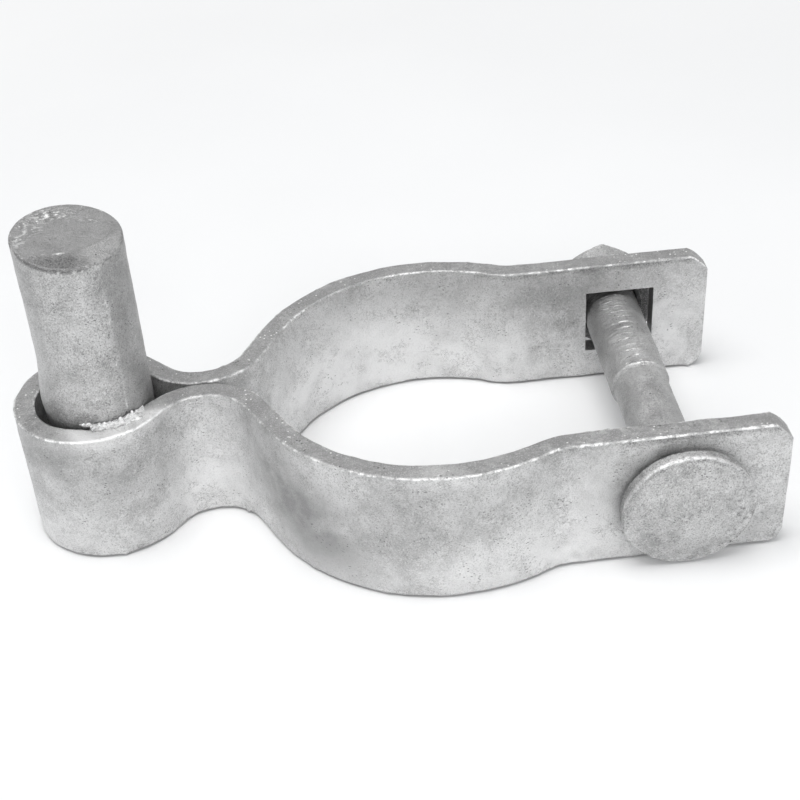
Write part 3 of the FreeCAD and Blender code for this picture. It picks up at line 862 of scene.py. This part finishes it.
def build_weld(scene):
    """A low ragged run of weld and zinc on the strap's edge, with nubs towards the pin and a crack outside."""
    sizes = scene.hinge_pin
    steps, across = 420, 22
    inner, sunk = sizes.radius + 0.02 * MM, strap_high.z - 0.2 * MM
    slim, slim_until, widens_in = 0.24, math.radians(-97), math.radians(5)
    swell_at, swell_width, crack_until = math.radians(-52), math.radians(13), math.radians(-64)
    shell = Shell("bead", "groove")
    for i in range(steps + 1):
        done = i / steps
        turn = sizes.weld_from + (sizes.weld_to - sizes.weld_from) * done
        taper = min(1.0, 9 * done, 5 * (1 - done)) ** 0.7
        arc = turn * sizes.radius
        wide = held(slim + (turn - slim_until) / widens_in, slim, 1.0)
        out = sizes.weld_out * taper * wide * (0.82 + 0.35 * noise.noise(Vector((arc / (1.5 * MM), 4.0, 0.0))))
        nub = max(0.0, noise.noise(Vector((arc / (0.62 * MM), 2.0, 0.0)))) ** 0.8
        crest = sizes.weld_up * taper * (0.5 + 0.5 * bell(turn, swell_at, swell_width)) * (0.25 + 1.1 * nub)
        cracked = slim_until < turn < crack_until
        row = []
        for j in range(across + 1):
            s = j / across
            radius = inner + out * s
            spot = Vector((radius * math.cos(turn), radius * math.sin(turn), 0.0))
            rough = fractal(spot / (0.48 * MM), 4, 0.8)
            rising = min(1.0, s / 0.14)
            falling = math.exp(-2.6 * max(0.0, s - 0.14)) * (1 - max(0.0, s - 0.93) / 0.07)
            level = strap_high.z + rising * falling * (crest + 0.22 * MM * rough * taper) + 0.10 * MM * (s < 0.99)
            # Painted light and shade: the weld's colour is paler where its rough top rises and on its nubs, and fades
            # outward; painted shade darkens the crevice at the pin, the gaps between nubs beside it, the hollows of
            # its top and its sunk sides; the dark line outside marks the crack
            tone = held(0.95 + 1.3 * rough + 0.35 * nub - 0.45 * s, 0.2, 1.0) * (s > 0.06)
            gaps = (s < 0.2) * max(0.0, 0.75 - 2.2 * nub)
            dark = max(0.85 * (s < 0.06), 0.75 * (s > 0.93) * cracked, gaps, 0.75 * max(0.0, -rough - 0.05))
            level = held(level, sunk + 0.02 * MM, weld_high.z)
            row.append(shell.add((pin_x + spot.x, spot.y, level), bead=tone, groove=dark))
        for radius in (inner + out, inner):
            point = (pin_x + radius * math.cos(turn), radius * math.sin(turn), sunk)
            row.append(shell.add(point, groove=0.6))
        shell.rows.append(row)
    lines = list(zip(*shell.rows))
    shell.faces = skin(lines + lines[:1], closed=False) + [tuple(shell.rows[0]), tuple(reversed(shell.rows[-1]))]
    obj = shell.make("weld_bead", 60)
    face_outward(obj)
    return obj


# The bolt and the nut are made along +Y from the head's seat

def lean_on_bolt(obj, sizes):
    """Lays a piece made along +Y from the head's seat on the leaning line of the bolt."""
    seat = Matrix.Translation(((bolt_low.x + bolt_high.x) / 2, -sizes.seat_y, sizes.seat_z))
    obj.data.transform(seat @ Matrix.Rotation(sizes.tilt, 4, "X"))
    obj.data.update()


def around(radius, turn, y):
    """The point at a radius and direction round the bolt's axis."""
    return (radius * math.cos(turn), y, radius * math.sin(turn))


def on_bar(turn, y, spread, size, shift=0.0):
    """A spot on the bolt for its noise, whose features have a size along it and a spread round it."""
    return Vector((math.cos(turn) * spread, y / size, math.sin(turn) * spread + shift))


def thread_wave(y, turn, pitch):
    """Height of the rolled thread at a place: 1 on the crest, 0 in the root."""
    return 0.5 + 0.5 * math.cos(FULL_TURN * ((y / pitch - turn / FULL_TURN) % 1.0))


def build_bolt(scene):
    """The shank, the thread half filled with zinc, the square neck and the round head."""
    sizes = scene.hinge_bolt
    columns, shank_rows, rows_a_turn, chamfer_rows, end_rows = 144, 70, 14, 6, 5
    shank_from, chamfer = 0.2 * MM, 1.0 * MM
    open_middle, open_half = math.radians(99), math.radians(20)
    bare_from = sizes.nut_seat - 3 * MM
    shell = Shell("bead", "groove", "dulled")

    def shank(y, turn):
        return sizes.shank_radius + 0.04 * MM * (fractal(on_bar(turn, y, 2.2, 2.2 * MM), 3) - 0.5)

    def openness(y, turn):
        """How far the zinc leaves the thread open here, 0 to 1."""
        worn = bell_round(turn, open_middle, open_half)
        wiped = held((y - sizes.nut_seat) / (3 * MM) + 1.0, 0.0, 1.0)
        patchy = held(0.7 + 1.5 * fractal(on_bar(turn, y, 1.4, 3 * MM, 4), 3, 0.6), 0.5, 1.0)
        return max(0.12 + 0.80 * worn * patchy, 0.9 * wiped)

    def threaded(y, turn):
        """Radius over the thread: thin ridges in the zinc, and the full thread near the nut and past it."""
        run_in = held((y - sizes.thread_start) / (1.6 * MM), 0.0, 1.0)
        full = sizes.thread_radius - 0.03 * MM
        crest = sizes.shank_radius + (full - sizes.shank_radius) * min(1.0, run_in * 3.2)
        wave = thread_wave(y, turn, sizes.thread_pitch)
        cut = sizes.thread_depth * openness(y, turn) * run_in
        shape = (1 - wave) ** 1.6 if y > bare_from else 0.6 * (1 - wave ** 9)
        return crest - cut * shape + 0.04 * MM * (fractal(on_bar(turn, y, 4.5, 0.6 * MM), 3, 0.6) - 0.6)

    def crest_shine(y, turn):
        """Painted highlights: broken bright strokes on the crests of the top side, and a bright ring on the top side
        where the thread starts.
        """
        chips = noise.noise(on_bar(turn, y, 5.5, 1.1 * MM))
        crest = max(0.0, thread_wave(y, turn, sizes.thread_pitch) - 0.82) / 0.18
        strokes = crest * max(0.0, openness(y, turn) - 0.3) * max(0.0, 4.0 * chips - 0.1)
        start_ring = bell(y, sizes.thread_start + 0.5 * MM + 0.15 * MM * chips, 0.12 * MM)
        top_side = bell_round(turn, open_middle, math.radians(48))
        return min(0.95, 3.2 * strokes * (y < sizes.nut_seat) + 0.8 * start_ring * top_side)

    def root_dark(y, turn):
        """Painted shade: broken dark lines beside the crests."""
        beside = bell((y / sizes.thread_pitch - turn / FULL_TURN) % 1.0, 0.86, 0.055)
        chips = noise.noise(on_bar(turn, y, 4.5, 0.9 * MM, 3))
        return min(0.9, beside * min(1.0, 1.6 * openness(y, turn)) * max(0.0, 0.5 + 3.4 * chips))

    def plain(value):
        return lambda y, turn: value

    def ring(y, radius_of, shine, dark):
        def place(turn):
            dulled = held(0.48 + 0.3 * fractal(on_bar(turn, y, 1.0, 6 * MM), 2, 0.6), 0.1, 0.8)
            values = {"bead": shine(y, turn), "groove": dark(y, turn), "dulled": dulled}
            return around(radius_of(y, turn), turn, y), values
        shell.ring(columns, place)

    for i in range(shank_rows + 1):
        ring(shank_from + (sizes.thread_start - shank_from) * i / shank_rows, shank, plain(0.0), plain(0.0))
    step = sizes.thread_pitch / rows_a_turn
    last_y = sizes.length - chamfer
    y = sizes.thread_start + step
    while y < last_y:
        ring(y, threaded, crest_shine, root_dark)
        y += step
    for i in range(1, chamfer_rows + 1):
        fall = chamfer * i / chamfer_rows
        ring(last_y + fall, lambda y, turn: min(threaded(y, turn), sizes.thread_radius - fall), plain(0.1), plain(0.0))
    for i in range(1, end_rows):
        size = (sizes.thread_radius - chamfer) * (1 - i / end_rows)
        ring(sizes.length - 0.02 * MM, plain(size), plain(0.1), plain(0.1))
    shell.close()
    add_neck(shell, sizes)
    add_head(shell, sizes)
    obj = shell.make("bolt_galvanised", 38)
    face_outward(obj)
    lean_on_bolt(obj, sizes)
    return obj


def add_neck(shell, sizes):
    """Square neck under the head, its corners rounded by forging and chamfered towards the shank."""
    columns, rows, overlap, lead_in = 96, 12, 0.1 * MM, 0.9 * MM
    half, corner = sizes.neck_side / 2 - 0.03 * MM, 6.5 * MM
    for i in range(rows + 1):
        y = (sizes.neck_depth + overlap) * i / rows - overlap
        limit = corner - (corner - sizes.shank_radius) * max(0.0, (y - sizes.neck_depth + lead_in) / lead_in)

        def place(turn):
            radius = min(limit, half / max(abs(math.cos(turn)), abs(math.sin(turn))))
            return around(radius, turn, y), {}

        shell.ring(columns, place, offset=0.5)
    shell.close()


def head_profile(sizes):
    """The head's half section as (radius, height above the seat): underside, rim, rounded shoulder and crown."""
    rim_top, flat = sizes.head_rim - 0.2 * MM, sizes.head_radius - 0.42 * MM
    under = sizes.head_radius - 0.25 * MM - sizes.shank_radius
    profile = [(sizes.shank_radius + under * i / 4, 0.0) for i in range(5)]
    profile += [(sizes.head_radius, 0.1 * MM + (sizes.head_rim - 0.3 * MM) * i / 8) for i in range(1, 9)]
    for i in range(1, 7):
        turn = QUARTER * i / 6
        profile.append((flat + 0.42 * MM * math.cos(turn), rim_top + 0.3 * MM * math.sin(turn)))
    sphere = (flat ** 2 + sizes.head_crown ** 2) / (2 * sizes.head_crown)
    for i in range(1, 34):
        radius = flat * (1 - i / 34)
        rise = math.sqrt(sphere ** 2 - radius ** 2) - (sphere - sizes.head_crown)
        profile.append((radius, sizes.head_rim + rise))
    return profile, flat


def add_head(shell, sizes):
    """Mushroom head: a rim with zinc creases across it and a nearly flat, uneven crown."""
    columns, crease_count = 180, 26
    profile, flat = head_profile(sizes)
    height = sizes.head_rim + sizes.head_crown
    rng = np.random.default_rng(5)
    creases = rng.uniform(0, FULL_TURN, crease_count)
    widths = rng.uniform(0.014, 0.05, crease_count)
    lit_side, rough_side = math.radians(97), math.radians(-4)
    for radius, out in profile:
        # Painted light and shade: a highlight on the rim's shoulder, strongest on the lit side; painted shade in the
        # crevice under the rim, on the rim's side away from the light and as a hairline along the crown's edge on its
        # upper side; glints on the crumpled zinc's bumps and shade in its hollows; darker creases across the rim
        at_rim = bell(radius, sizes.head_radius - 0.5 * MM, 0.8 * MM)
        shoulder = bell(out, sizes.head_rim - 0.25 * MM, 0.42 * MM) * (radius > flat - 0.1 * MM)
        edge_ring = bell(radius, flat - 0.1 * MM, 0.2 * MM) * (out >= sizes.head_rim)
        under_rim = 0.9 * (out < 0.4 * MM) * (radius > sizes.head_radius - 1.2 * MM)
        on_side = 0.4 * MM < out < sizes.head_rim - 0.5 * MM

        def place(turn):
            spot = Vector((radius * math.cos(turn), out * 2, radius * math.sin(turn)))
            wander, fine = noise.noise(spot / (1.8 * MM)), fractal(spot / (0.8 * MM), 3)
            crumpled = bell_round(turn, rough_side, 0.62) * bell(radius, 8.2 * MM, 1.9 * MM)
            swell = 0.16 * MM * (fractal(spot / (5 * MM), 2, 0.6) - 1) + (0.03 + 0.11 * crumpled) * MM * fine
            crease = min(1.0, sum(bell_round(turn, middle, width) for middle, width in zip(creases, widths)))
            shrink = at_rim * (0.10 * MM + 0.16 * MM * crease)
            size = max(0.0, radius - (shrink if radius > sizes.shank_radius * 1.2 else 0))
            level = out + (swell if out > sizes.head_rim - 0.05 * MM else 0.0)
            lit = bell_round(turn, lit_side, 0.55)
            upper = min(1.0, max(0.0, math.sin(turn - 0.15) + 0.15))
            shine = shoulder * (0.85 * lit + 0.2) + at_rim * max(0.0, 0.9 * wander) * 0.6
            shine += crumpled * max(0.0, fine) * 0.8
            side_dark = on_side * (0.46 - 0.30 * lit + 0.15 * wander)
            hairline = 0.8 * edge_ring * upper * (0.7 + 0.7 * wander)
            spots = crumpled * max(0.0, -fine - 0.12) * 1.6
            dark = max(under_rim, side_dark, hairline, spots, 0.3 * at_rim * crease)
            return around(size, turn, held(-level, -height, 0.0)), {"bead": held(shine, 0.0, 0.92),
                                                                    "groove": min(0.9, dark)}

        shell.ring(columns, place)
    shell.close(tip=shell.add((0.0, 0.12 * MM - height, 0.0)))


# Rows of the nut's side, in millimetres from its seat: closer together where the chamfers are
NUT_ROWS = (0.0, 0.25, 0.5, 0.8, 1.15, 1.6, 2.2, 3.0, 3.8, 4.6, 5.4, 6.1, 6.7, 7.15, 7.5, 7.8, 8.05, 8.3)
NUT_INSET = 0.02 * MM


def build_nut(scene):
    """The hexagon nut, chamfered on both faces, with its threaded bore."""
    sizes = scene.hinge_bolt
    columns, bore_rows, mouth_chamfer = 144, 60, 0.7 * MM
    thickness, half = sizes.nut_thickness, sizes.nut_flats / 2
    low, high = sizes.nut_seat, sizes.nut_seat + thickness
    mouth, bore = sizes.nut_bore + mouth_chamfer, sizes.nut_bore
    corner = half / math.cos(HEX_HALF)
    shell = Shell("bead", "groove")

    def side(turn, level):
        """Radius of the hexagon, its corners worn round and its chamfers cut at 30 degrees."""
        cone = half + min(level, thickness - level) / math.tan(HEX_HALF)
        off_corner = math.remainder(turn - HEX_HALF, 2 * HEX_HALF)
        hexagon = (half - 0.05 * MM) / math.cos(HEX_HALF - abs(off_corner))
        return min(cone, hexagon, corner - 0.22 * MM)

    def ring(y, radius_of, shine, dark):
        def place(turn):
            spot = on_bar(turn, y - low, 7, MM)
            radius = radius_of(turn) - 0.05 * MM * (0.5 + 0.5 * fractal(spot / 1.6, 2))
            bead = held(shine + 0.5 * shine * noise.noise(spot / 1.3), 0.0, 0.8)
            return around(radius, turn, y), {"bead": bead, "groove": dark}
        shell.ring(columns, place)

    def face(y, shares, shine, dark):
        """Rings of a flat face between the bore's mouth and the chamfer."""
        for part in shares:
            size = mouth + (half - 0.35 * MM - mouth) * (1 - part)
            ring(y, lambda turn: size, shine, dark)

    # Painted shade darkens the seat face against the tab and the threaded bore; the chamfers are paler
    face(low + NUT_INSET, (1.0, 0.66, 0.33), 0.0, 0.45)
    for row in NUT_ROWS:
        y = low + NUT_INSET + (thickness - 2 * NUT_INSET) * row / NUT_ROWS[-1]
        on_chamfer = 0.1 < min(row, NUT_ROWS[-1] - row) < 1.2
        ring(y, lambda turn: side(turn, y - low), 0.12 if on_chamfer else 0.03, 0.0)
    face(high - NUT_INSET, (0.33, 0.66, 1.0), 0.05, 0.0)
    for i in range(1, bore_rows):
        y = high - NUT_INSET - (thickness - 2 * NUT_INSET) * i / bore_rows
        cone = max(0.0, mouth_chamfer - min(y - low, high - y))
        ring(y, lambda turn: bore + cone + 0.12 * MM
             + 0.22 * MM * (1 - thread_wave(y, turn, sizes.thread_pitch)), 0.0, 0.25)
    shell.faces = skin(shell.rows + shell.rows[:1])
    obj = shell.make("nut_galvanised", 24)
    face_outward(obj)
    lean_on_bolt(obj, sizes)
    return obj


# The studio. Each lamp: its place, and its width and height; both face the middle of the hinge
KEY_LAMP = ((-0.12, -0.06, 0.80), (0.5, 0.5))
FILL_LAMP = ((0.10, -0.60, 0.42), (0.4, 0.25))
LAMP_TARGET = (0, 0, 0.01)
FLOOR_HALF, FLOOR_LEVEL = 4.0, -0.0002
ROOM_LIGHT = (0.96, 0.98, 1.0, 1.0)
NEAREST_SEEN = 0.01


def lamp(name, place, size, energy):
    """A soft rectangular lamp, turned to the hinge."""
    data = bpy.data.lights.new(name, "AREA")
    data.shape = "RECTANGLE"
    data.size, data.size_y = size
    data.energy = energy
    obj = bpy.data.objects.new(name, data)
    obj.location = place
    obj.rotation_euler = (Vector(LAMP_TARGET) - Vector(place)).to_track_quat("-Z", "Y").to_euler()
    bpy.context.scene.collection.objects.link(obj)


def background_rays(nodes, links):
    """1 for the rays that show the background: the camera's, reflected and transmitted ones."""
    path = nodes.new("ShaderNodeLightPath")
    seen_by = path.outputs["Is Camera Ray"]
    for ray in ("Is Glossy Ray", "Is Transmission Ray"):
        either = nodes.new("ShaderNodeMath")
        either.operation = "MAXIMUM"
        links.new(seen_by, either.inputs[0])
        links.new(path.outputs[ray], either.inputs[1])
        seen_by = either.outputs[0]
    return seen_by


def blend_shaders(nodes, links, share, first, second):
    """The second shader over the first, by a share."""
    blend = nodes.new("ShaderNodeMixShader")
    links.new(share, blend.inputs["Fac"])
    links.new(first, blend.inputs[1])
    links.new(second, blend.inputs[2])
    return blend.outputs[0]


def floor_material(studio):
    """A lit pale floor that keeps the object's shadow and fades into the white room away from it."""
    tree = ZincTree("pale_floor")
    cloud = tree.noise(0.09, 3.0, 0.5)
    fibre = tree.noise(0.0012, 3.0, 0.6, 0.0, 0.2)
    grey = tuple(studio.floor_grey)
    base = tree.mix(tree.remap(cloud, 0.35, 0.65), grey, tinted(grey, 1.02))
    lit = tree.shader(base, tree.remap(fibre, 0.3, 0.7, 0.75, 0.9))
    away = tree.nodes.new("ShaderNodeVectorMath")
    away.operation = "LENGTH"
    tree.links.new(tree.place, away.inputs[0])
    far = tree.remap(away.outputs["Value"], studio.fade_from, studio.fade_to)
    white = tree.nodes.new("ShaderNodeEmission")
    seen = tree.times(far, background_rays(tree.nodes, tree.links))
    return tree.finish(blend_shaders(tree.nodes, tree.links, seen, lit.outputs["BSDF"], white.outputs[0]))


def pale_world(studio):
    """White to the camera and in reflections, an even grey light on everything else."""
    world = bpy.data.worlds.new("pale_room")
    bpy.context.scene.world = world
    world.use_nodes = True
    nodes, links = world.node_tree.nodes, world.node_tree.links
    nodes.clear()
    light, seen = nodes.new("ShaderNodeBackground"), nodes.new("ShaderNodeBackground")
    light.inputs["Color"].default_value = ROOM_LIGHT
    light.inputs["Strength"].default_value = studio.world_strength
    seen.inputs["Color"].default_value = (1.0, 1.0, 1.0, 1.0)
    seen.inputs["Strength"].default_value = 1.0
    room = blend_shaders(nodes, links, background_rays(nodes, links), light.outputs[0], seen.outputs[0])
    links.new(room, nodes.new("ShaderNodeOutputWorld").inputs["Surface"])


def place_camera(studio):
    """Camera turned by yaw, pitch and roll, with a lens for the focal length in pixels."""
    yaw, pitch, roll = studio.camera_yaw, studio.camera_pitch, studio.camera_roll
    ahead = Vector((math.sin(yaw) * math.cos(pitch), math.cos(yaw) * math.cos(pitch), -math.sin(pitch)))
    level = Vector((math.cos(yaw), -math.sin(yaw), 0.0))
    below = ahead.cross(level)
    right = level * math.cos(roll) + below * math.sin(roll)
    down = below * math.cos(roll) - level * math.sin(roll)
    data = bpy.data.cameras.new("photo_camera")
    data.sensor_width = SENSOR_WIDTH
    data.lens = studio.focal_pixels / IMAGE_WIDTH * SENSOR_WIDTH
    data.clip_start = NEAREST_SEEN
    obj = bpy.data.objects.new("photo_camera", data)
    turn = Matrix((right, -down, -ahead)).transposed()
    obj.matrix_world = Matrix.Translation(studio.camera_place) @ turn.to_4x4()
    bpy.context.scene.collection.objects.link(obj)
    bpy.context.scene.camera = obj


def lay_floor(studio):
    """The pale floor, just under the hinge."""
    mesh = bpy.data.meshes.new("floor")
    corners = [(x * FLOOR_HALF, y * FLOOR_HALF, FLOOR_LEVEL) for x, y in ((-1, -1), (1, -1), (1, 1), (-1, 1))]
    mesh.from_pydata(corners, [], [(0, 1, 2, 3)])
    mesh.materials.append(floor_material(studio))
    floor = bpy.data.objects.new("floor", mesh)
    bpy.context.scene.collection.objects.link(floor)


class HINGE_OT_strap(bpy.types.Operator):
    """Folds the strap round the pin and the post, with its zinc edges and square holes"""

    bl_idname = "hinge.strap"
    bl_label = "Strap"

    def execute(self, context):
        obj = build_strap(context.scene)
        relieve_strap(obj, context.scene.hinge_strap)
        dress(obj, "post_strap", "hinge", zinc("strap_zinc_finish", context.scene.hinge_zinc))
        return {"FINISHED"}


class HINGE_OT_pin(bpy.types.Operator):
    """Stands the sheared pin in the strap's eye"""

    bl_idname = "hinge.pin"
    bl_label = "Pin"

    def execute(self, context):
        finish = zinc("pin_zinc_finish", context.scene.hinge_zinc, lift=-0.09)
        dress(build_pin(context.scene), "pintle_pin", "hinge", finish)
        return {"FINISHED"}


class HINGE_OT_weld(bpy.types.Operator):
    """Lays the lumpy weld between the pin and the strap's upper edge"""

    bl_idname = "hinge.weld"
    bl_label = "Weld"

    def execute(self, context):
        # The paler coat and lower metallic are painted light that keeps the weld bright where its sideways faces would
        # render darker
        finish = zinc("weld_zinc_finish", context.scene.hinge_zinc, lift=0.20, metallic=0.5)
        dress(build_weld(context.scene), "pin_weld", "hinge", finish)
        return {"FINISHED"}


class HINGE_OT_bolt(bpy.types.Operator):
    """Makes the carriage bolt with its thread half filled with zinc"""

    bl_idname = "hinge.bolt"
    bl_label = "Carriage bolt"

    def execute(self, context):
        finish = zinc("bolt_zinc_finish", context.scene.hinge_zinc, lift=-0.10)
        dress(build_bolt(context.scene), "carriage_bolt", "bolt", finish)
        return {"FINISHED"}


class HINGE_OT_nut(bpy.types.Operator):
    """Makes the chamfered hexagon nut behind the far tab"""

    bl_idname = "hinge.nut"
    bl_label = "Nut"

    def execute(self, context):
        finish = zinc("nut_zinc_finish", context.scene.hinge_zinc, lift=-0.27)
        dress(build_nut(context.scene), "hex_nut", "nut", finish)
        return {"FINISHED"}


class HINGE_OT_studio(bpy.types.Operator):
    """Sets the floor, the lamps, the pale room and the photograph's camera"""

    bl_idname = "hinge.studio"
    bl_label = "Studio"

    def execute(self, context):
        studio = context.scene.hinge_studio
        lay_floor(studio)
        lamp("key", *KEY_LAMP, studio.key_power)
        lamp("fill", *FILL_LAMP, studio.fill_power)
        pale_world(studio)
        place_camera(studio)
        context.scene.view_settings.view_transform = "Standard"
        return {"FINISHED"}


class HINGE_PT_panel(bpy.types.Panel):
    """Sizes and build buttons of the gate hinge"""

    bl_label = "Gate Hinge"
    bl_idname = "HINGE_PT_panel"
    bl_space_type = "VIEW_3D"
    bl_region_type = "UI"
    bl_category = "Gate Hinge"

    def draw(self, context):
        scene = context.scene
        for group, operator in ((scene.hinge_strap, "hinge.strap"), (scene.hinge_pin, "hinge.pin"),
                                (None, "hinge.weld"), (scene.hinge_bolt, "hinge.bolt"), (None, "hinge.nut"),
                                (scene.hinge_zinc, None), (scene.hinge_studio, "hinge.studio")):
            box = self.layout.box()
            if group is not None:
                for key in group.__annotations__:
                    box.prop(group, key)
            if operator is not None:
                box.operator(operator)


SETTINGS = {
    "hinge_strap": HingeStrapSizes,
    "hinge_pin": HingePinSizes,
    "hinge_bolt": HingeBoltSizes,
    "hinge_zinc": HingeZincFinish,
    "hinge_studio": HingeStudio,
}
OPERATORS = (HINGE_OT_strap, HINGE_OT_pin, HINGE_OT_weld, HINGE_OT_bolt, HINGE_OT_nut, HINGE_OT_studio)


def register():
    """Registers the settings, the operators and the panel."""
    for name, group in SETTINGS.items():
        bpy.utils.register_class(group)
        setattr(bpy.types.Scene, name, PointerProperty(type=group))
    for item in OPERATORS + (HINGE_PT_panel,):
        bpy.utils.register_class(item)


def unregister():
    """Takes them away again, in the opposite order."""
    for item in reversed(OPERATORS + (HINGE_PT_panel,)):
        bpy.utils.unregister_class(item)
    for name, group in reversed(SETTINGS.items()):
        delattr(bpy.types.Scene, name)
        bpy.utils.unregister_class(group)


def main():
    """Builds every piece and the studio."""
    register()
    bpy.ops.hinge.strap()
    bpy.ops.hinge.pin()
    bpy.ops.hinge.weld()
    bpy.ops.hinge.bolt()
    bpy.ops.hinge.nut()
    bpy.ops.hinge.studio()


if __name__ == "__main__":
    main()
